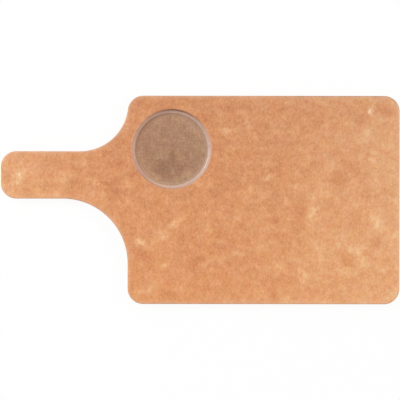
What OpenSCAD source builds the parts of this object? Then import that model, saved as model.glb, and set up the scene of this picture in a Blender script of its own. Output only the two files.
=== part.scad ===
// Bread board with an offset handle and a round well for a small dish.
// One solid plate, routed from sheet. Its outline is a closed chain of
// arcs, each tangent to the next one or joined to it by a straight run.
// Both rims are rounded over all the way round, and the well is a flat
// floor with a coved wall and an eased lip.
//
// The board lies flat. +X runs from the handle to the far end, +Y points
// to the side with the well, and the origin is under the middle.

/* [Body] */
// Length of the wide part, without the handle
body_length = 244; // [200:1:320]
// Width of the wide part
body_width = 187; // [160:1:260]
// Thickness of the sheet
thickness = 9.5; // [8:0.5:19]
// Radius of the corners of the wide part
corner_r = 14; // [6:0.5:20]

/* [Handle] */
// How far the handle stands out from the wide part
handle_length = 114; // [95:1:150]
// Width of the handle
handle_width = 42.5; // [34:0.5:56]
// Distance from the body's centre line to the handle's, towards the well
handle_offset = 22.25; // [0:0.25:30]
// Radius of the two corners at the handle's end
handle_corner_r = 14; // [6:0.5:16]
// Radius of the sweep from the handle into the body, on the well's side
near_sweep_r = 43.49; // [20:0.01:60]
// Radius of the sweep from the handle into the body, on the other side
far_sweep_r = 58.5; // [20:0.5:75]

/* [Rims] */
// Radius of the round-over along the upper and lower rims
rim_r = 1.6; // [0.6:0.1:3]

/* [Well] */
// Radius of the well at its straight wall
well_r = 35.6; // [25:0.1:38]
// Depth of the well below the upper face
well_depth = 4.8; // [4:0.1:6]
// Radius of the cove between the well's wall and its floor
cove_r = 3.2; // [1:0.1:3.2]
// Radius that eases the well's lip
lip_r = 0.4; // [0.2:0.1:0.8]
// Distance from the body's handle side to the well's centre
well_inset_x = 39.25; // [38:0.25:160]
// Distance from the body's long edge to the well's centre
well_inset_y = 48; // [42:0.5:94]

/* [Hidden] */

// Segments in a full turn, for the plan, the well and the small sections
$fn = 96;
well_fn = 144;
section_fn = 24;

// How far cutters reach past the faces that they cut
over = 1;
// Arcs whose ends are closer than this touch, with no run between them
hair = 0.001;

// The board is drawn with x = 0 along the body's handle side and y = 0
// along its centre line, and moved to its own middle at the end.
tip = -handle_length;
top = body_width / 2;
handle_top = handle_offset + handle_width / 2;
handle_bottom = handle_offset - handle_width / 2;

// Centres of the body's corners, which lie alike on both long edges
corner_x = corner_r;
far_corner_x = body_length - corner_r;
corner_y = top - corner_r;

// A sweep is tangent to the handle's edge. Where there is room it is
// tangent to the body's side too. A larger one, whose centre lies beyond
// the corner's centre by this rise, runs straight into the corner.
near_rise = max(0, handle_top + near_sweep_r - corner_y);
far_rise = max(0, far_sweep_r - handle_bottom - corner_y);

// Distance between the centres of a sweep and of its corner when the two
// arcs touch, the slant of the line between them, and its length along x,
// rounded down by less than a hair so that the arcs never part
function touching(r) = r + corner_r;
function slant(r, rise) = asin(rise / touching(r));
function reach(r, rise) =
    floor(sqrt(touching(r) ^ 2 - rise ^ 2) * 10000 + 0.000001) / 10000;

near_centre = [
    corner_x - reach(near_sweep_r, near_rise),
    handle_top + near_sweep_r
];
far_centre = [
    corner_x - reach(far_sweep_r, far_rise),
    handle_bottom - far_sweep_r
];
near_slant = slant(near_sweep_r, near_rise);
far_slant = slant(far_sweep_r, far_rise);

// The outline's arcs, anticlockwise: centre, radius, first and last angle.
// The two sweeps turn the other way, so they are hollows in the outline.
arcs = [
    [[far_corner_x, corner_y], corner_r, 0, 90],
    [[corner_x, corner_y], corner_r, 90, 180 - near_slant],
    [near_centre, near_sweep_r, -near_slant, -90],
    [
        [tip + handle_corner_r, handle_top - handle_corner_r],
        handle_corner_r, 90, 180
    ],
    [
        [tip + handle_corner_r, handle_bottom + handle_corner_r],
        handle_corner_r, 180, 270
    ],
    [far_centre, far_sweep_r, 90, far_slant],
    [[corner_x, -corner_y], corner_r, 180 + far_slant, 270],
    [[far_corner_x, -corner_y], corner_r, 270, 360]
];

function centre(arc) = arc[0];
function radius(arc) = arc[1];
function first_angle(arc) = arc[2];
function last_angle(arc) = arc[3];
function turn(arc) = last_angle(arc) - first_angle(arc);
function is_hollow(arc) = turn(arc) < 0;
function on_arc(arc, angle) =
    centre(arc) + radius(arc) * [cos(angle), sin(angle)];

// The straight run from the end of arc i to the start of the next one
function next_arc(i) = arcs[(i + 1) % len(arcs)];
function run_after(i) = [
    on_arc(arcs[i], last_angle(arcs[i])),
    on_arc(next_arc(i), first_angle(next_arc(i)))
];
function run_length(run) = norm(run[1] - run[0]);
function run_heading(run) =
    atan2(run[1].y - run[0].y, run[1].x - run[0].x);
function has_run(i) = run_length(run_after(i)) > hair;

// The outline. The polygon joins the runs through the arcs' centres, which
// leaves a notch at each corner and spare material at each hollow.
module outline() {
    difference() {
        union() {
            polygon([
                for (i = [0 : len(arcs) - 1])
                    each [centre(arcs[i]), if (has_run(i)) each run_after(i)]
            ]);
            for (arc = arcs) if (!is_hollow(arc)) arc_disc(arc);
        }
        for (arc = arcs) if (is_hollow(arc)) arc_disc(arc);
    }
}

module arc_disc(arc) {
    translate(centre(arc)) circle(radius(arc));
}

// What a round-over of radius r takes off a square edge. The edge is at
// the origin, between a side wall along +y and a face along +x.
module round_over_section(r) {
    difference() {
        translate([-over, -over]) square(r + over);
        translate([r, r]) circle(r, $fn = section_fn);
    }
}

// The cutter round a corner stops at the corner's ends. Round a hollow it
// is a whole ring, because the rest of the ring passes clear of the board.
// The ring starts and ends on its far side, where it touches nothing.
module cutter_on_arc(arc) {
    translate(centre(arc)) {
        if (is_hollow(arc)) {
            rotate(180)
                rotate_extrude()
                    translate([radius(arc), 0])
                        round_over_section(rim_r);
        } else {
            rotate(first_angle(arc))
                rotate_extrude(angle = turn(arc))
                    translate([radius(arc), 0])
                        mirror([1, 0])
                            round_over_section(rim_r);
        }
    }
}

module cutter_on_run(run) {
    translate(run[0])
        rotate(run_heading(run))
            rotate([90, 0, 90])
                linear_extrude(run_length(run))
                    round_over_section(rim_r);
}

// Everything that rounds over the lower rim
module rim_cutters() {
    for (i = [0 : len(arcs) - 1]) {
        cutter_on_arc(arcs[i]);
        if (has_run(i)) cutter_on_run(run_after(i));
    }
}

// Half of the well's section, from its axis at x = 0 out to its wall. The
// same round-over leaves the cove at the floor and eases the lip.
module well_section() {
    difference() {
        square([well_r, well_depth + over]);
        translate([well_r, 0]) mirror([1, 0]) round_over_section(cove_r);
    }
    translate([well_r, well_depth]) mirror([0, 1]) round_over_section(lip_r);
}

module well_cutter() {
    translate([well_inset_x, top - well_inset_y, thickness - well_depth])
        rotate_extrude($fn = well_fn)
            well_section();
}

module board() {
    color("peru")
        translate([(handle_length - body_length) / 2, 0, 0])
            difference() {
                linear_extrude(thickness) outline();
                rim_cutters();
                translate([0, 0, thickness]) mirror([0, 0, 1]) rim_cutters();
                well_cutter();
            }
}

board();
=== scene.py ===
import math

import bpy
import numpy as np
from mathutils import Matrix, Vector
from mathutils.geometry import delaunay_2d_cdt


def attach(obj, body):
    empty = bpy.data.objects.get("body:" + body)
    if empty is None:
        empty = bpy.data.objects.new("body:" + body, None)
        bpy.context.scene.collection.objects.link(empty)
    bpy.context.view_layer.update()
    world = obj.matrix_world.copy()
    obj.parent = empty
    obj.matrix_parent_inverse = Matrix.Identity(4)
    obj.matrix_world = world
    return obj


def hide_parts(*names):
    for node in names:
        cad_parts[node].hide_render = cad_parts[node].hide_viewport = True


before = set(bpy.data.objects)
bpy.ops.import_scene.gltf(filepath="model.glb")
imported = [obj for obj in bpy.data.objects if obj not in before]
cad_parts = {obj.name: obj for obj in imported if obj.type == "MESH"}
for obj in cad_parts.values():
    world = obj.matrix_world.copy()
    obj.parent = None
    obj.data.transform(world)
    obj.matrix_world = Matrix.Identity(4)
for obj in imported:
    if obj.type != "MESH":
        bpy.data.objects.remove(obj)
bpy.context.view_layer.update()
scene = bpy.context.scene
mm = 0.001

# the board's form in millimetres, the same sizes as the solid's
boardForm = {
    "bodyLength": 244.0,
    "bodyWidth": 187.0,
    "thickness": 9.5,
    "cornerR": 14.0,
    "handleLength": 114.0,
    "handleWidth": 42.5,
    "handleOffset": 22.25,
    "handleCornerR": 14.0,
    "nearSweepR": 43.49,
    "farSweepR": 58.5,
    "rimR": 1.6,
    "wellR": 35.6,
    "wellDepth": 4.8,
    "coveR": 3.2,
    "lipR": 0.4,
    "wellInsetX": 39.25,  # from the body's handle side
    "wellInsetY": 48.0,  # from the body's long edge
    "cornerStep": 3.75,  # degrees between points on a corner
    "sweepStep": 1.8,  # degrees between points on a sweep
    "runStep": 5.0,  # longest step along a straight run
    "rimSteps": 10,
    "sideSteps": 4,
    "faceRings": (5.8, 3.4, 2.1),  # loops on the flat faces, inset from the edge
    "wellTurns": 168,  # steps round the well
    "wellCollar": (39.0, 37.0),  # loops on the face outside the well
    "lipSteps": 6,
    "wallSteps": 3,
    "coveSteps": 14,
    "fineStep": 0.2,  # between the floor's loops, down to a radius of fineEnd
    "fineEnd": 25.0,
    "coarseLoops": 20,
    "lastLoop": 1.2,  # radius of the loop round the floor's middle point
    "ridge": 0.012,  # height of the rings that the cutter left on the floor
    "ridgePitch": 0.8,
    "ridgeMiddle": 29.5,  # radius at which they stand highest
    "ridgeSpread": 2.0,
    "latticeStep": 6.0,  # spacing of the points inside the flat faces
    "latticeClear": 0.55,  # how far they stay off the edges, as a share of it
}
wellX = (boardForm["handleLength"] - boardForm["bodyLength"]) / 2 + boardForm["wellInsetX"]
wellY = boardForm["bodyWidth"] / 2 - boardForm["wellInsetY"]


def planArcs(form):
    # centre x and y, radius, first and last angle of each arc of the outline, going
    # anticlockwise from the far corner on the well's side; an arc that turns back is
    # a hollow. A sweep whose centre lies beyond the corner's centre by its rise
    # touches the corner, so their centres are the sum of the radii apart.
    top = form["bodyWidth"] / 2
    side = (form["handleLength"] - form["bodyLength"]) / 2
    corner, end = form["cornerR"], form["handleCornerR"]
    near, far = form["nearSweepR"], form["farSweepR"]
    handleTop = form["handleOffset"] + form["handleWidth"] / 2
    handleBottom = form["handleOffset"] - form["handleWidth"] / 2
    cornerY = top - corner
    tip = side - form["handleLength"] + end
    farX = side + form["bodyLength"] - corner
    nearRise = max(0.0, handleTop + near - cornerY)
    farRise = max(0.0, far - handleBottom - cornerY)
    nearX = side + corner - math.sqrt((near + corner) ** 2 - nearRise**2)
    farSweepX = side + corner - math.sqrt((far + corner) ** 2 - farRise**2)
    nearSlant = math.degrees(math.asin(nearRise / (near + corner)))
    farSlant = math.degrees(math.asin(farRise / (far + corner)))
    return [
        (farX, cornerY, corner, 0, 90),
        (side + corner, cornerY, corner, 90, 180 - nearSlant),
        (nearX, handleTop + near, near, -nearSlant, -90),
        (tip, handleTop - end, end, 90, 180),
        (tip, handleBottom + end, end, 180, 270),
        (farSweepX, handleBottom - far, far, 90, farSlant),
        (side + corner, -cornerY, corner, 180 + farSlant, 270),
        (farX, -cornerY, corner, 270, 360),
    ]


def walkOutline(form):
    # points along the outline and the way that faces out at each: an arc is its
    # centre + radius * (cos, sin), and a straight run is cut into equal steps
    placed, faced = [], []
    arcs = planArcs(form)
    for x, y, radius, first, last in arcs:
        hollow = last < first
        step = form["sweepStep"] if hollow else form["cornerStep"]
        angle = np.radians(np.linspace(first, last, math.ceil(abs(last - first) / step) + 1))
        way = np.stack([np.cos(angle), np.sin(angle)], 1)
        points = np.array([x, y]) + radius * way
        way = -way if hollow else way
        if placed:
            joinRun(placed, faced, points[0], form["runStep"])
        placed.append(points)
        faced.append(way)
    joinRun(placed, faced, placed[0][0], form["runStep"])
    return np.concatenate(placed), np.concatenate(faced)


def joinRun(placed, faced, goal, longest):
    # fills the run from the last point to the goal; where the arcs touch, their
    # shared point is kept once
    start = placed[-1][-1]
    length = np.linalg.norm(goal - start)
    if length < 0.001:
        placed[-1], faced[-1] = placed[-1][:-1], faced[-1][:-1]
        return
    share = np.linspace(0, 1, math.ceil(length / longest) + 1)[1:-1, None]
    placed.append(start + share * (goal - start))
    faced.append(np.repeat(faced[-1][-1:], len(share), 0))


def rows(reach, height, out, up):
    # the rows of a section, from columns or from single values that they share
    return np.stack(np.broadcast_arrays(reach, height, out, up), 1)


def rimSection(form):
    # from the upper face over the rim, down the side and under, as rows of inset
    # from the edge, height, and how far the surface faces out and up; the rim is a
    # quarter circle: inset = r - r cos(angle), height = top - r + r sin(angle)
    thick, r = form["thickness"], form["rimR"]
    angle = np.linspace(np.pi / 2, 0, form["rimSteps"] + 1)
    flat = rows(np.array(form["faceRings"]), thick, 0.0, 1.0)
    rim = rows(r - r * np.cos(angle), thick - r + r * np.sin(angle), np.cos(angle), np.sin(angle))
    side = rows(0.0, np.linspace(thick - r, r, form["sideSteps"] + 1)[1:-1], 1.0, 0.0)
    above = np.concatenate([flat, rim])
    below = (above * [1, -1, 1, -1] + [0, thick, 0, 0])[::-1]
    return np.concatenate([above, side, below])


def wellSection(form):
    # from the face round the well over its lip, down the wall, round the cove and
    # across the floor, as rows of distance from the axis, height, and how far the
    # surface faces out and up; the floor carries low rings, a sine of the distance
    # that fades away from the cutter's last pass
    thick, r, cove, lip = form["thickness"], form["wellR"], form["coveR"], form["lipR"]
    floor, inner = thick - form["wellDepth"], r - cove
    collar = rows(np.array(form["wellCollar"]), thick, 0.0, 1.0)
    angle = np.linspace(0, np.pi / 2, form["lipSteps"] + 1)
    out, up = np.sin(angle), np.cos(angle)
    lipArc = rows(r + lip - lip * out, thick - lip + lip * up, -out, up)
    wallHeights = np.linspace(thick - lip, floor + cove, form["wallSteps"] + 1)
    wall = rows(r, wallHeights[1:-1], -1.0, 0.0)
    angle = np.linspace(0, np.pi / 2, form["coveSteps"] + 1)
    out, up = np.cos(angle), np.sin(angle)
    coveArc = rows(inner + cove * out, floor + cove - cove * up, -out, up)
    across = np.concatenate([
        np.arange(inner - form["fineStep"], form["fineEnd"], -form["fineStep"]),
        np.linspace(form["fineEnd"], form["lastLoop"], form["coarseLoops"]),
    ])
    fade = np.exp(-(((across - form["ridgeMiddle"]) / form["ridgeSpread"]) ** 2))
    ridge = form["ridge"] * fade * (0.5 + 0.5 * np.sin(across * 2 * np.pi / form["ridgePitch"]))
    slope = np.gradient(ridge, across)
    tilt = np.hypot(slope, 1)
    flat = rows(across, floor + ridge, -slope / tilt, 1 / tilt)
    return np.concatenate([collar, lipArc, wall, coveArc, flat])


def insideLoop(points, loop):
    # a point is inside where a ray from it towards +X crosses the loop an odd
    # number of times
    a, b = loop, np.roll(loop, -1, 0)
    x, y = points[:, :1], points[:, 1:]
    crosses = (a[:, 1] > y) != (b[:, 1] > y)
    rise = np.where(b[:, 1] == a[:, 1], 1e-9, b[:, 1] - a[:, 1])
    at = a[:, 0] + (y - a[:, 1]) * (b[:, 0] - a[:, 0]) / rise
    return (crosses & (x < at)).sum(1) % 2 == 1


def lattice(outer, hole, step, clear):
    # rows of points, every second row moved by half a step, that lie inside the
    # outer loop, outside the hole and clear of both; the rows are as far apart as
    # a triangle with equal sides is high
    low, high = outer.min(0), outer.max(0)
    x, y = np.meshgrid(np.arange(low[0], high[0], step), np.arange(low[1], high[1], step * 0.866))
    x = x + (np.arange(len(x))[:, None] % 2) * step / 2
    points = np.stack([x.ravel(), y.ravel()], 1)
    points = points[insideLoop(points, outer)]
    gaps = np.linalg.norm(points[:, None] - outer[None], axis=2)
    points = points[gaps.min(1) > clear]
    if hole is not None:
        centre = hole.mean(0)
        nearest = np.linalg.norm(hole[0] - centre) + clear
        points = points[np.linalg.norm(points - centre, axis=1) > nearest]
    return points


def fillFlat(outer, hole, form):
    # joins the loops and the lattice between them with triangles; gives the new
    # points and the triangles, numbered outer loop first, then hole, then lattice
    step = form["latticeStep"]
    inner = lattice(outer, hole, step, step * form["latticeClear"])
    loops = [outer] if hole is None else [outer, hole]
    points = np.concatenate(loops + [inner])
    sides, start = [], 0
    for loop in loops:
        number = np.arange(len(loop))
        sides += np.stack([start + number, start + np.roll(number, -1)], 1).tolist()
        start += len(loop)
    made = delaunay_2d_cdt([Vector(p) for p in points.tolist()], sides, [], 1, 1e-6, True)
    triangles = np.array([first[0] for first in made[3]])[np.array(made[2])]
    middle = points[triangles].mean(1)
    keep = insideLoop(middle, outer)
    if hole is not None:
        keep &= ~insideLoop(middle, hole)
    return inner, triangles[keep]


def gridQuads(start, height, width):
    # quads between the rows of a grid whose rows close on themselves
    row, column = np.meshgrid(np.arange(height - 1), np.arange(width), indexing="ij")
    ahead = (column + 1) % width
    above, below = row * width, (row + 1) * width
    corners = [above + column, below + column, below + ahead, above + ahead]
    return start + np.stack([c.ravel() for c in corners], 1)


def carry(section, base, way, inward):
    # carries a section along a closed path: each point is base +- reach * way at
    # the section's height, and faces out * way and up
    reach, height, out, up = (section[:, None, n : n + 1] for n in range(4))
    place = base + (-reach if inward else reach) * way[None]
    height, up = (np.repeat(column, len(way), 1) for column in (height, up))
    points = np.concatenate([place, height], 2)
    facing = np.concatenate([way[None] * out, up], 2)
    return place, points.reshape(-1, 3), facing.reshape(-1, 3)


def makeBoard(form):
    edge, out = walkOutline(form)
    rim, well = rimSection(form), wellSection(form)
    count, turns = len(edge), form["wellTurns"]
    angle = np.arange(turns) * 2 * np.pi / turns
    spokes = np.stack([np.cos(angle), np.sin(angle)], 1)
    rimPlace, rimPoints, rimFacing = carry(rim, edge[None], out, True)
    wellPlace, wellPoints, wellFacing = carry(well, np.array([wellX, wellY]), spokes, False)
    topInner, topTriangles = fillFlat(rimPlace[0], wellPlace[0], form)
    lowInner, lowTriangles = fillFlat(rimPlace[-1], None, form)

    wellStart = len(rimPoints)
    pole = wellStart + len(wellPoints)
    topStart = pole + 1
    lowStart = topStart + len(topInner)
    around, turn = np.arange(count), np.arange(turns)
    lowest = (len(rim) - 1) * count + around
    topIds = np.concatenate([around, wellStart + turn, topStart + np.arange(len(topInner))])
    lowIds = np.concatenate([lowest, lowStart + np.arange(len(lowInner))])
    points = np.concatenate([
        rimPoints,
        wellPoints,
        [[wellX, wellY, well[-1, 1]]],
        np.column_stack([topInner, np.full(len(topInner), form["thickness"])]),
        np.column_stack([lowInner, np.zeros(len(lowInner))]),
    ])
    facing = np.concatenate([
        rimFacing,
        wellFacing,
        np.tile([0.0, 0.0, 1.0], (1 + len(topInner), 1)),
        np.tile([0.0, 0.0, -1.0], (len(lowInner), 1)),
    ])
    last = pole - turns + turn
    cap = np.stack([last, np.roll(last, -1), np.full(turns, pole)], 1)
    faces = (
        gridQuads(0, len(rim), count).tolist()
        + gridQuads(wellStart, len(well), turns)[:, ::-1].tolist()
        + cap.tolist()
        + topIds[topTriangles].tolist()
        + lowIds[lowTriangles][:, ::-1].tolist()
    )
    mesh = bpy.data.meshes.new("breadBoard")
    mesh.from_pydata((points * mm).tolist(), [], faces)
    mesh.shade_smooth()
    mesh.normals_split_custom_set_from_vertices(facing.tolist())
    # how far each point lies inside the outline, for the wear along the edge
    inset = np.full(len(points), form["faceRings"][0])
    inset[:wellStart] = np.repeat(rim[:, 0], count)
    layer = mesh.attributes.new("inset", "FLOAT", "POINT")
    layer.data.foreach_set("value", inset.astype(np.float32))
    made = bpy.data.objects.new("breadBoard", mesh)
    scene.collection.objects.link(made)
    return made


breadBoard = makeBoard(boardForm)
print("board:", len(breadBoard.data.vertices), "points,", len(breadBoard.data.polygons), "faces")


def linear(red, green, blue):
    # a colour as a screen shows it, 0 to 255, turned into the light that it stands for
    shown = np.array([red, green, blue]) / 255
    light = np.where(shown <= 0.04045, shown / 12.92, ((shown + 0.055) / 1.055) ** 2.4)
    return (*light.tolist(), 1.0)


class Wire:
    # an output of a node; an expression on wires and numbers adds its Math nodes
    def __init__(self, socket):
        self.socket = socket

    def maths(self, operation, *items):
        node = self.socket.id_data.nodes.new("ShaderNodeMath")
        node.operation = operation
        for place, item in zip(node.inputs, items):
            plug(place, item)
        return Wire(node.outputs[0])

    def __add__(self, other):
        return self.maths("ADD", self, other)

    def __radd__(self, other):
        return self.maths("ADD", other, self)

    def __sub__(self, other):
        return self.maths("SUBTRACT", self, other)

    def __rsub__(self, other):
        return self.maths("SUBTRACT", other, self)

    def __mul__(self, other):
        return self.maths("MULTIPLY", self, other)

    def __rmul__(self, other):
        return self.maths("MULTIPLY", other, self)

    def __truediv__(self, other):
        return self.maths("DIVIDE", self, other)

    def __pow__(self, other):
        return self.maths("POWER", self, other)

    def __rpow__(self, other):
        return self.maths("POWER", other, self)

    def __abs__(self):
        return self.maths("ABSOLUTE", self)

    def above(self, level):
        return self.maths("MAXIMUM", self, level)

    def beside(self, *names):
        # other outputs of the node that this one belongs to
        return [Wire(self.socket.node.outputs[name]) for name in names]


def plug(place, item):
    # links a wire to an input, or sets the input to a plain value
    if isinstance(item, Wire):
        place.id_data.links.new(item.socket, place)
    else:
        place.default_value = item


markReach = 2.4  # a soft mark ends at this many times its length or width
markDepth = 7.0  # and this many millimetres above and below its middle
rootOfE = 0.6065  # e to the power of minus a half


class Finish:
    # the node tree of one finish
    def __init__(self, owner):
        owner.use_nodes = True
        self.tree = owner.node_tree
        self.tree.nodes.clear()

    def node(self, kind, settings, inputs, output=0):
        # any node: its type, its settings, which are set first, and its sockets
        made = self.tree.nodes.new("ShaderNode" + kind)
        for name, value in settings.items():
            if name == "stops":
                ramp = made.color_ramp
                ramp.elements[0].position, ramp.elements[0].color = value[0]
                ramp.elements[1].position, ramp.elements[1].color = value[-1]
                for position, colour in value[1:-1]:
                    ramp.elements.new(position).color = colour
            else:
                setattr(made, name, value)
        for place, item in inputs.items():
            plug(made.inputs[place], item)
        return Wire(made.outputs[output]) if made.outputs else None

    def vector(self, operation, *items, output=0):
        return self.node("VectorMath", {"operation": operation}, dict(enumerate(items)), output)

    def scaled(self, colour, factor):
        return self.node("VectorMath", {"operation": "SCALE"}, {0: colour, "Scale": factor})

    def dot(self, first, second):
        return self.vector("DOT_PRODUCT", first, second, output="Value")

    def bell(self, value, middle, width):
        # one at the middle, and falling on both sides of it as a normal curve does
        return rootOfE ** (((value - middle) / width) ** 2.0)

    def noise(self, where, size, detail=0.0, roughness=0.5, output=0):
        # noise about nought whose lumps are about this many millimetres across
        inputs = {
            "Vector": where,
            "Scale": 1 / (size * mm),
            "Detail": detail,
            "Roughness": roughness,
        }
        made = self.node("TexNoise", {}, inputs, output)
        return made - 0.5 if output == 0 else self.vector("SUBTRACT", made, (0.5, 0.5, 0.5))

    def stretched(self, where, factors):
        # draws a pattern out along an axis whose factor is under one
        return self.node("Mapping", {"vector_type": "POINT"}, {"Vector": where, "Scale": factors})

    def step(self, value, low, high):
        # nought below low and one above high, smooth between them
        inputs = {"Value": value, "From Min": low, "From Max": high}
        return self.node("MapRange", {"interpolation_type": "SMOOTHSTEP"}, inputs)

    def mix(self, share, first, second):
        return self.node("Mix", {"data_type": "RGBA"}, {0: share, 6: first, 7: second}, 2)

    def ramp(self, value, stops):
        # a colour for each level of value
        low, high = stops[0][0], stops[-1][0]
        placed = [((level - low) / (high - low), linear(*colour)) for level, colour in stops]
        return self.node("ValToRGB", {"stops": placed}, {0: (value - low) / (high - low)})

    def marks(self, where, height, listed):
        # soft oval marks, summed: each is full at its middle, about 0.6 as strong at
        # its length or width, and falls smoothly to nothing at markReach times that
        total = None
        for x, y, long, short, turn, strength in listed:
            inputs = {
                "Vector": where,
                "Location": (x * mm, y * mm, height * mm),
                "Rotation": (0, 0, math.radians(turn)),
                "Scale": (long * markReach * mm, short * markReach * mm, markDepth * mm),
            }
            placed = self.node("Mapping", {"vector_type": "TEXTURE"}, inputs)
            near = self.node("TexGradient", {"gradient_type": "SPHERICAL"}, {"Vector": placed}, 1)
            inputs = {"Value": near, "To Max": strength}
            mark = self.node("MapRange", {"interpolation_type": "SMOOTHSTEP"}, inputs)
            total = mark if total is None else total + mark
        return total


sheetFinish = {
    # colours of the pressed face by tone, from its reddest clouds to its palest spots,
    # after its means in the photograph
    "faceStops": [
        (-40, (193, 120, 80)),
        (-19, (206, 134, 89)),
        (-10, (211, 141, 94)),
        (0, (216, 148, 99)),
        (9, (221, 154, 105)),
        (17, (224, 159, 110)),
        (25, (227, 165, 116)),
        (34, (230, 171, 121)),
        (45, (234, 178, 129)),
        (63, (236, 188, 139)),
        (100, (249, 210, 166)),
    ],
    # the pulp's lumps, coarsest first: millimetres across, how far they are drawn out,
    # and the spread of tone over them
    "lumps": [
        (40.0, (0.8, 1.0, 1.0), 5),
        (19.0, (0.75, 1.0, 1.0), 12),
        (9.5, (0.8, 1.0, 1.0), 29),
        (5.0, (0.95, 1.0, 1.0), 27),
        (2.6, (1.1, 0.9, 1.0), 31),
        (1.3, (1.2, 0.8, 1.0), 50),
    ],
    # broad drift of tone, by place in metres: paler towards both ends, where it is
    # painted sheen, and a little towards the far long edge
    "driftAndSheen": {"xx": 935, "xy": 430, "yy": 197, "y": -120, "x": 15, "level": -0.9},
    # settings named after lumps give shares of these, by their number in the list
    "thinLumps": {2: 0.8, 3: 0.6, 1: 0.4},  # where the pulp lies thin and shows pale
    "palePatches": 60,
    # size, detail and roughness of the noise that breaks up the outlines of marks
    "wander": (3.2, 1.0, 0.6),
    "wanderReach": (0.005, 0.005, 0.0),
    "spotLumps": {3: 1.2, 4: 0.8},
    # a little greyer towards the long edge by the well and, as painted sheen, towards both
    # ends, and redder towards the other: level of red and of blue, its change by y and its change
    # by x squared
    "warm": (0.994, -0.41, -0.35),
    "cold": (1.004, 0.54, 0.6),
    "coldLumps": {5: 0.13, 4: 0.06},
    # size, detail and roughness of the pulp's own hue, which wanders between pink and
    # yellow apart from its tone
    "hue": (12.0, 3.0, 0.9),
    "hueReach": (0.21, 0.0, 0.48),
    # wear along the edge of the face, over these millimetres in from the outline
    # the same pale colour is also the lip's painted highlight on its left
    "paleWearAndHighlight": (232, 190, 160),  # what the rubbed edge pales towards
    "insetLumps": {4: 0.8, 3: 1.5},
    "rubbed": (0.6, 3.0),
    "rubbedShare": 0.15,
    "faded": (2.2, 5.4),
    "fadedShare": 0.08,
    "edgeWear": 4,
    # rims and sides, which are cut through the sheet, so its plies show as faint lines
    "side": (212, 157, 119),
    "plyDrawn": (0.04, 0.04, 1.0),
    "ply": (0.7, 1.0),  # size and detail
    "plyShade": 0.35,
    "sideLumps": {3: 0.2, 4: 0.25},
    "faceDepths": (0.0009, 0.0003),  # metres in from either face, from side to face
    "faceLumps": {4: 0.0002},
    # painted shade on the upper rim at the far corner on the well's side: millimetres in from the
    # outline, metres along y and along x, and millimetres up
    "rimShadeInset": (0.3, 1.8),
    "rimShadeAcross": (0.08, 0.09),
    "rimShadeAlong": (0.04, 0.1),
    "rimShadeHeight": (7.3, 8.6),
    "rimShadeStrength": 0.2,
    # the well's floor: its colours by tone, then what its tone is made of
    "floorStops": [(-40, (143, 102, 76)), (0, (167, 126, 97)), (40, (190, 151, 119))],
    "stainTone": 1.2,
    "lastPass": (28.6, 1.5),  # radius and width of a paler ring where the cutter turned
    "lastPassTone": 12,
    "scratchDrawn": [(0.15, 1.0, 1.0), (1.0, 0.15, 1.0)],
    "scratchSize": 1.1,
    "scratchTone": 24,
    "floorLumps": {1: 14, 2: 15, 3: 20, 4: 29, 5: 42},
    # red, green and blue round the ring: level, and change towards its lower right,
    # where painted sheen makes it greyer
    "ringSheenTint": [(1.02, -0.08), (1, 0.02), (1, 0.09)],
    # millimetres by which the ring's inner edges lie further in, or out where negative
    "ringShift": {"lowerRight": 0.5, "upperLeft": -0.3, "lower": -0.5},
    # the grey foot of the cove, with painted shadow towards its upper left, painted
    # sheen towards its lower right and painted light on both sides, and a line of painted
    # shade in the crease along it, deepest at its upper left
    "foot": (179, 145, 119),
    "footRadii": (29.4, 31.2),
    "footRadiusLumps": {4: 1.2},
    "footShare": 0.75,
    "footLevel": 0.99,
    "footLightWay": (0.092, -0.14, 0.0),
    "footSidesLight": 0.154,
    "footLumps": {3: 0.1, 5: 0.15},
    "line": (31.95, 0.3),  # radius and width
    "lineShade": 0.1,
    "lineUpperLeft": 0.25,
    # the pale cove, whose paleness is partly painted sheen, with painted light on its lower side
    "cove": (200, 163, 142),
    "coveRadii": (32.1, 33.0),
    "coveLevel": 1.01,
    "covePaintedLight": 0.12,
    "coveLumps": {3: 0.12, 4: 0.2},
    # where the milled finish ends: millimetres above the floor, and out from the axis
    "milledHeights": (-2.0, -1.0),
    "milledRadii": (35.65, 35.95),
    "milledRight": 0.12,
    "milledUpper": 0.3,
    # the lip: radius and width, then its painted highlight on its left and on both
    # sides, its painted shade above and how much darker it is below, as the photograph shows it
    "lip": (35.5, 0.5),
    "lipLeftHighlight": 0.42,
    "lipSidesHighlight": 0.12,
    "lipLower": 0.12,
    "lipUpperShade": 0.58,
    # gloss and relief
    "roughness": 0.6,
    "roughLumps": {3: 0.12, 4: 0.15},
    "gloss": 0.35,
    "shineRadii": (31.5, 33.0),
    "coveRoughness": 0.42,
    "coveShine": 0.8,
    "shineRoughness": 0.3,
    "reliefLumps": {4: 1.0, 5: 0.8},
    "reliefStrength": 0.3,
    "reliefDepth": 0.0002,
}

# broad clouds on the face: x, y, length and width in millimetres, turn, strength. The
# first sixteen were fitted to the photograph's broad tone less a render's, so they
# also make up for lumps of the noise
broadClouds = [
    (-76, 22, 22, 18, 122, -14),
    (178, 50, 34, 17, 101, -12),
    (11, -58, 34, 20, 67, -9),
    (162, -68, 33, 12, 4, -10),
    (105, -42, 20, 8, 90, 17),
    (118, 6, 15, 12, 113, 18),
    (15, 31, 34, 12, 166, -8),
    (-185, 23, 8, 8, 84, -27),
    (145, 91, 17, 8, 64, -15),
    (151, 57, 15, 8, 159, 10),
    (-76, -83, 29, 10, 53, -18),
    (125, 6, 30, 8, 57, -16),
    (100, 75, 13, 8, 27, -9),
    (76, -16, 34, 8, 95, -9),
    (-160, 16, 18, 9, 151, -7),
    (165, -11, 12, 9, 105, -6),
    (160, 3, 8, 8, 0, -4),
    (150, -61, 10, 9, 20, 5),
    (-119, 24, 9, 7, 0, -5),
    (60, -70, 12, 9, 0, -3),
    (40, 30, 11, 9, 0, 3),
]

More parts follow.
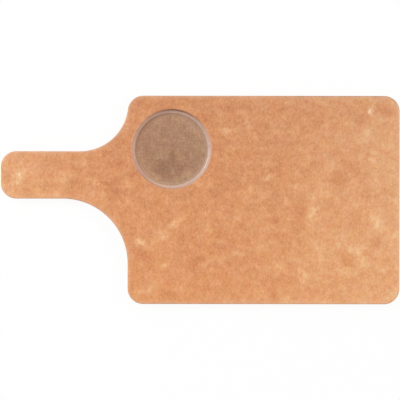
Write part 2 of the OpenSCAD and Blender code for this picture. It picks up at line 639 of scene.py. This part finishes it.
# paler spots on the face, listed in the same way and fitted where they show
paleMarks = [
    (153.0, 79.7, 2.3, 1.7, 65, 58),
    (-162.3, 20.8, 7.0, 3.4, 68, 44),
    (101.0, -12.9, 5.6, 3.3, 77, 36),
    (-52.9, -38.3, 3.4, 2.6, 158, 36),
    (158.4, -20.2, 5.8, 3.4, 93, 32),
    (-22.4, -21.7, 4.4, 2.5, 62, 31),
    (92.0, -68.6, 5.6, 3.3, 114, 29),
    (136.3, -43.9, 6.0, 2.7, 159, 28),
    (-31.7, -59.3, 3.0, 1.7, 45, 28),
    (-34.2, -31.4, 3.9, 2.9, 150, 24),
    (75.8, -91.5, 5.0, 4.0, 90, 25),
    (112.9, 4.8, 3.3, 2.5, 161, 25),
    (-64.6, 13.6, 3.6, 3.4, 92, 24),
    (-121.8, 16.2, 5.0, 2.6, 88, 10),
    (48.6, 9.9, 3.6, 2.7, 171, 24),
    (42.5, 70.6, 3.7, 2.1, 91, 24),
    (63.1, 20.5, 4.3, 2.2, 23, 23),
    (-94.0, 15.6, 3.3, 1.8, 133, 22),
    (34.4, -46.7, 3.3, 3.1, 58, 22),
    (129.2, -65.3, 5.6, 3.3, 21, 21),
    (71.2, -60.1, 3.4, 2.6, 82, 22),
    (84.8, -42.2, 4.2, 2.8, 90, 19),
    (173.5, -1.2, 5.0, 3.2, 174, 19),
    (171.5, -86.5, 5.0, 2.6, 40, 20),
    (144.6, -56.5, 5.6, 4.0, 82, 16),
    (115.9, 27.2, 5.8, 2.4, 52, 17),
    (22.6, 61.3, 5.1, 3.8, 166, 16),
    (152.2, 36.4, 5.3, 1.8, 145, 16),
]

# crisp pale flecks in or beside some of the spots
flecks = [
    (152.1, 79.5, 0.9, 0.8, 60, 50),
    (-55.0, -38.7, 0.9, 0.7, 50, 26),
    (-163.8, 15.3, 1.4, 1.0, 65, 26),
    (99.3, -15.0, 1.3, 1.0, 40, 16),
]

# redder spots on the face, also fitted where they show
redMarks = [
    (157.7, -39.8, 6.0, 3.2, 56, -24),
    (122.1, 19.4, 5.6, 4.2, 62, -24),
    (-52.9, -50.6, 5.5, 5.0, 2, -19),
    (166.8, 80.1, 5.6, 4.2, 156, -21),
    (131.1, -54.1, 6.0, 4.2, 157, -20),
    (90.4, -7.8, 5.8, 4.4, 61, -18),
    (138.4, -19.5, 6.0, 3.4, 57, -19),
    (-28.6, -85.3, 6.0, 3.9, 6, -18),
    (145.2, 70.3, 5.4, 4.6, 55, -17),
    (68.0, -19.2, 3.0, 2.5, 90, -22),
    (66.0, -81.8, 5.2, 3.1, 102, -18),
    (-114.9, 9.1, 5.5, 4.5, 5, -18),
    (-4.0, -61.5, 6.0, 4.0, 95, -16),
    (59.4, 65.7, 2.7, 1.8, 112, -20),
]

# marks on the well's floor, measured from the well's middle; the last five were
# fitted as the broad clouds were
floorMarks = [
    (1.5, -9.5, 4.6, 2.6, 90, -20),
    (-8.5, -16.5, 6.5, 3.6, 20, -22),
    (6.5, -18.0, 4.0, 3.0, 60, -18),
    (-4.5, -24.0, 4.5, 1.8, 175, -16),
    (0.5, 0.0, 2.0, 7.0, 0, -9),
    (18.5, -13.5, 5.0, 2.0, 10, -9),
    (21.0, 1.0, 3.0, 6.0, 15, -7),
    (-7.0, 4.0, 4.0, 2.0, 0, -7),
    (-23.5, 2.0, 3.0, 9.0, 0, -6),
    (-12.0, -4.5, 3.0, 4.0, 160, 9),
    (2.5, -21.0, 1.4, 3.4, 20, 14),
    (14.5, -23.0, 3.0, 2.0, 40, 16),
    (-13.5, -24.0, 3.2, 2.0, 150, 14),
    (18.0, 19.0, 7.0, 2.6, 135, 9),
    (10.0, -7.4, 3.0, 0.9, 0, 10),
    (21.0, 4.0, 11.0, 6.5, 112, 8),
    (5.0, 23.5, 8.5, 3.8, 68, 9),
    (-15.0, 17.0, 4.5, 3.6, 9, 9),
    (5.0, 15.5, 16.0, 3.5, 3, -6),
    (-14.5, -8.0, 14.0, 4.5, 26, -5),
]


class PressedSheet(Finish):
    # the board's finish; its parts share the place, the lumps and the settings
    def __init__(self, material, look):
        super().__init__(material)
        self.look = look
        self.where = self.node("TexCoord", {}, {}, "Object")
        self.x = self.node("SeparateXYZ", {}, {0: self.where}, "X")
        self.y, self.z = self.x.beside("Y", "Z")
        self.noises = [
            self.noise(self.stretched(self.where, factors), size)
            for size, factors, spread in look["lumps"]
        ]
        wander = self.noise(self.where, *look["wander"], output="Color")
        wander = self.vector("MULTIPLY", wander, look["wanderReach"])
        self.broken = self.vector("ADD", self.where, wander)
        inset = self.node("Attribute", {"attribute_name": "inset"}, {}, "Fac")
        self.inset = inset + self.lumps("insetLumps")

    def lumps(self, name):
        # the lumps that a setting lists, each times its share
        shares = self.look[name].items()
        return sum((self.noises[number] * share for number, share in shares), 0.0)

    def shaded(self, name, factor):
        # the colour of a setting, lighter or darker
        return self.scaled(linear(*self.look[name])[:3], factor)

    def face(self):
        # a tone from drift, partly painted sheen, clouds, pulp and spots, as a colour, worn along
        # the edge
        look, x, y = self.look, self.x, self.y
        # the drift's paleness towards both ends is painted sheen
        by = look["driftAndSheen"]
        driftAndSheen = by["xx"] * (x * x) + by["xy"] * (x * y) + by["yy"] * (y * y)
        driftAndSheen = driftAndSheen + by["y"] * y + by["x"] * x + by["level"]
        spreads = [spread for size, factors, spread in look["lumps"]]
        pulp = sum((noise * spread for noise, spread in zip(self.noises, spreads)), 0.0)
        thin = self.lumps("thinLumps").above(0.0)
        pale = thin * thin * look["palePatches"]
        height = boardForm["thickness"]
        spots = self.marks(self.broken, height, paleMarks + redMarks)
        spots = spots * (1.0 + self.lumps("spotLumps"))
        spots = spots + self.marks(self.where, height, flecks)
        clouds = self.marks(self.broken, height, broadClouds)
        rubbed = 1 - self.step(self.inset, *look["rubbed"])
        faded = 1 - self.step(self.inset, *look["faded"])
        tone = driftAndSheen + clouds + pulp + pale + spots + rubbed * look["edgeWear"]
        face = self.ramp(tone, look["faceStops"])
        paled = rubbed * look["rubbedShare"] + faded * look["fadedShare"]
        face = self.mix(paled, face, linear(*look["paleWearAndHighlight"]))

        def slanted(level, byY, byXX):
            return level + byY * y + byXX * (x * x)

        # the greying towards both ends, by x squared, is painted sheen
        warm = slanted(*look["warm"])
        cold = slanted(*look["cold"]) + self.lumps("coldLumps")
        tintAndSheen = self.node("CombineXYZ", {}, {0: warm, 1: 1.0, 2: cold})
        return self.vector("MULTIPLY", face, tintAndSheen)

    def wellFloor(self, centre, radius):
        # stains, a paler ring, scratches both ways across the floor, and grit
        look = self.look
        height = boardForm["thickness"] - boardForm["wellDepth"]
        stains = self.marks(self.vector("SUBTRACT", self.broken, centre), height, floorMarks)
        lastPass = self.bell(radius, *look["lastPass"]) * look["lastPassTone"]
        along, across = (
            self.noise(self.stretched(self.where, factors), look["scratchSize"])
            for factors in look["scratchDrawn"]
        )
        scratch = (along + across) * look["scratchTone"]
        tone = stains * look["stainTone"] + lastPass + scratch + self.lumps("floorLumps")
        return self.ramp(tone, look["floorStops"])

    def wellRing(self, floor, radius, sides):
        # the floor's colour with the foot of the cove and the cove round it
        look = self.look
        # painted sheen greys the ring and its foot towards the lower right
        levels = {n: level + by * sides["slant"] for n, (level, by) in enumerate(look["ringSheenTint"])}
        tintAndSheen = self.node("CombineXYZ", {}, levels)
        # painted light brightens the cove towards its lower side
        coveGrainAndLight = look["coveLevel"] + sides["coveLitSide"] * look["covePaintedLight"] + self.lumps("coveLumps")
        cove = self.vector("MULTIPLY", self.shaded("cove", coveGrainAndLight), tintAndSheen)
        share = self.step(radius + self.lumps("footRadiusLumps"), *look["footRadii"])
        ring = radius + sum((sides[name] * by for name, by in look["ringShift"].items()), 0.0)
        # painted shadow at the upper left, painted sheen at the lower right, painted light on both
        # sides, less a line of painted shade in the crease
        line = look["lineShade"] + sides["upperLeft"] * look["lineUpperLeft"]
        shade = look["footLevel"] + sides["footPaintedLight"] + sides["right"] ** 2.0 * look["footSidesLight"]
        shade = shade - self.bell(ring, *look["line"]) * line + self.lumps("footLumps")
        foot = self.vector("MULTIPLY", self.shaded("foot", shade), tintAndSheen)
        milled = self.mix(share * look["footShare"], floor, foot)
        return self.mix(self.step(ring, *look["coveRadii"]), milled, cove)

    def lipped(self, colour, radius, sides, height):
        # the colour with the lip's painted highlights and painted shade, which the height keeps off
        # the underside
        look = self.look
        lip = self.bell(radius, *look["lip"]) * height
        left = sides["left"]
        colour = self.mix(lip * left * left * look["lipLeftHighlight"], colour, linear(*look["paleWearAndHighlight"]))
        shade = sides["right"] ** 2.0 * look["lipSidesHighlight"]
        shade = shade - sides["lower"] ** 4.0 * look["lipLower"]
        shade = shade - sides["upper"] ** 6.0 * look["lipUpperShade"]
        return self.scaled(colour, 1 + lip * shade)

    def cutSides(self):
        plies = self.noise(self.stretched(self.where, self.look["plyDrawn"]), *self.look["ply"])
        return self.shaded("side", 1 + plies * self.look["plyShade"] + self.lumps("sideLumps"))

    def cornerRimShade(self):
        # painted shade on the upper rim at the far corner on the well's side
        look = self.look
        edge = (1 - self.step(self.inset, *look["rimShadeInset"])) * look["rimShadeStrength"]
        edge = edge * self.step(self.z / mm, *look["rimShadeHeight"])
        corner = self.step(self.y, *look["rimShadeAcross"]) * self.step(self.x, *look["rimShadeAlong"])
        return edge * corner

    def lay(self):
        look, z = self.look, self.z
        face = self.face()
        centre = (wellX * mm, wellY * mm, 0.0)
        outward = self.vector("SUBTRACT", self.where, centre)
        outward = self.vector("MULTIPLY", outward, (1, 1, 0))
        radius = self.vector("LENGTH", outward, output="Value") / mm
        floor = self.wellFloor(centre, radius)

        # how far a point lies to one side of the well, as the photograph shows it
        way = self.vector("NORMALIZE", outward)
        sides = {
            "coveLitSide": self.dot(way, (0.26, -0.97, 0.0)),
            "slant": self.dot(way, (0.86, -0.5, 0.0)),
            "right": self.dot(way, (1.0, 0.0, 0.0)),
            "left": self.dot(way, (-0.98, 0.17, 0.0)).above(0.0),
            "upper": self.dot(way, (0.17, 0.98, 0.0)).above(0.0),
            "lower": self.dot(way, (-0.26, -0.97, 0.0)).above(0.0),
            "upperLeft": self.dot(way, (-0.5, 0.87, 0.0)).above(0.0),
            "footPaintedLight": self.dot(way, look["footLightWay"]),
        }
        sides["lowerRight"] = sides["slant"].above(0.0)
        milled = self.wellRing(floor, radius, sides)
        bottom = boardForm["thickness"] - boardForm["wellDepth"]
        height = self.step(z / mm, *(bottom + level for level in look["milledHeights"]))
        brink = radius - sides["right"] * look["milledRight"] + sides["upper"] * look["milledUpper"]
        inWell = (1 - self.step(brink, *look["milledRadii"])) * height

        cut = self.cutSides()
        half = boardForm["thickness"] * mm / 2
        depths = (half - depth for depth in look["faceDepths"])
        isFace = self.step(abs(z - half) + self.lumps("faceLumps"), *depths)
        colour = self.mix(inWell, self.mix(isFace, cut, face), milled)
        # painted shade darkens the upper rim at the far corner
        colour = self.scaled(colour, 1 - self.cornerRimShade())
        hue = self.noise(self.where, *look["hue"], output="Color")
        hue = self.vector("MULTIPLY_ADD", hue, look["hueReach"], (1.0, 1.0, 1.0))
        colour = self.vector("MULTIPLY", colour, hue)
        # painted highlights at the lip's sides and painted shade above it
        colour = self.lipped(colour, radius, sides, height)

        inCove = inWell * self.step(radius, *look["shineRadii"])
        smoother = inCove * (look["coveRoughness"] - look["roughness"])
        relief = self.node("Bump", {}, {
            "Strength": look["reliefStrength"],
            "Distance": look["reliefDepth"],
            "Height": self.lumps("reliefLumps"),
        })
        shader = self.node("BsdfPrincipled", {}, {
            "Base Color": colour,
            "Roughness": look["roughness"] + self.lumps("roughLumps") + smoother,
            "Specular IOR Level": look["gloss"],
            "Coat Weight": inCove * look["coveShine"],
            "Coat Roughness": look["shineRoughness"],
            "Normal": relief,
        })
        self.node("OutputMaterial", {}, {"Surface": shader})


def pressedSheet(look):
    material = bpy.data.materials.new("pressedSheet")
    PressedSheet(material, look).lay()
    return material


breadBoard.data.materials.append(pressedSheet(sheetFinish))
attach(breadBoard, "root")
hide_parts("board")
print("finish laid")

studio = {
    "floorSize": 3.0,
    "floorDrop": 0.0002,  # how far the floor lies under the board
    "floorColour": (0.95, 0.95, 0.95, 1.0),
    "floorGlow": 0.92,  # share of plain white in the floor, as the camera sees it
    "sky": 0.64,  # the world's level for everything but what shows it
    "lamps": [  # name, place, size and power
        ("softboxLeft", (-0.889, 0.359, 0.72), 0.5, 6.2),
        ("softboxRight", (0.96, 0.084, 0.68), 0.5, 3.0),
    ],
    "lens": 150.0,
    "viewWidth": 0.35876,
    "viewCentre": (-0.0001, -0.0001),
    "viewTurn": 0.00137,  # radians, as the photograph is held
}


def makeFloor(form):
    half = form["floorSize"] / 2
    mesh = bpy.data.meshes.new("floor")
    corners = [(-half, -half, 0), (half, -half, 0), (half, half, 0), (-half, half, 0)]
    mesh.from_pydata(corners, [], [(0, 1, 2, 3)])
    floor = bpy.data.objects.new("floor", mesh)
    floor.location.z = -form["floorDrop"]
    scene.collection.objects.link(floor)
    material = bpy.data.materials.new("paleFloor")
    finish = Finish(material)
    seen = finish.node("LightPath", {}, {}, "Is Camera Ray")
    matte = finish.node("BsdfDiffuse", {}, {"Color": form["floorColour"]})
    glow = finish.node("Emission", {}, {"Color": (1, 1, 1, 1), "Strength": 1.0})
    both = finish.node("MixShader", {}, {0: seen * form["floorGlow"], 1: matte, 2: glow})
    finish.node("OutputMaterial", {}, {"Surface": both})
    mesh.materials.append(material)


def makeWorld(form):
    world = bpy.data.worlds.new("studioWorld")
    scene.world = world
    finish = Finish(world)
    seen = finish.node("LightPath", {}, {}, "Is Camera Ray")
    glossy, through = seen.beside("Is Glossy Ray", "Is Transmission Ray")
    level = seen.above(glossy).above(through) * (1 - form["sky"]) + form["sky"]
    sky = finish.node("Background", {}, {"Color": (1, 1, 1, 1), "Strength": level})
    finish.node("OutputWorld", {}, {"Surface": sky})


def makeLamps(form):
    for name, place, size, power in form["lamps"]:
        light = bpy.data.lights.new(name, "AREA")
        light.shape, light.size, light.energy = "SQUARE", size, power
        lamp = bpy.data.objects.new(name, light)
        lamp.location = place
        lamp.rotation_euler = (-Vector(place)).to_track_quat("-Z", "Y").to_euler()
        scene.collection.objects.link(lamp)


def makeCamera(form):
    data = bpy.data.cameras.new("camera")
    data.lens = form["lens"]
    camera = bpy.data.objects.new("camera", data)
    distance = form["viewWidth"] * form["lens"] / data.sensor_width
    camera.location = (*form["viewCentre"], boardForm["thickness"] * mm + distance)
    camera.rotation_euler.z = form["viewTurn"]
    scene.collection.objects.link(camera)
    scene.camera = camera


makeFloor(studio)
makeWorld(studio)
makeLamps(studio)
makeCamera(studio)
scene.view_settings.view_transform = "Standard"
print("studio set")
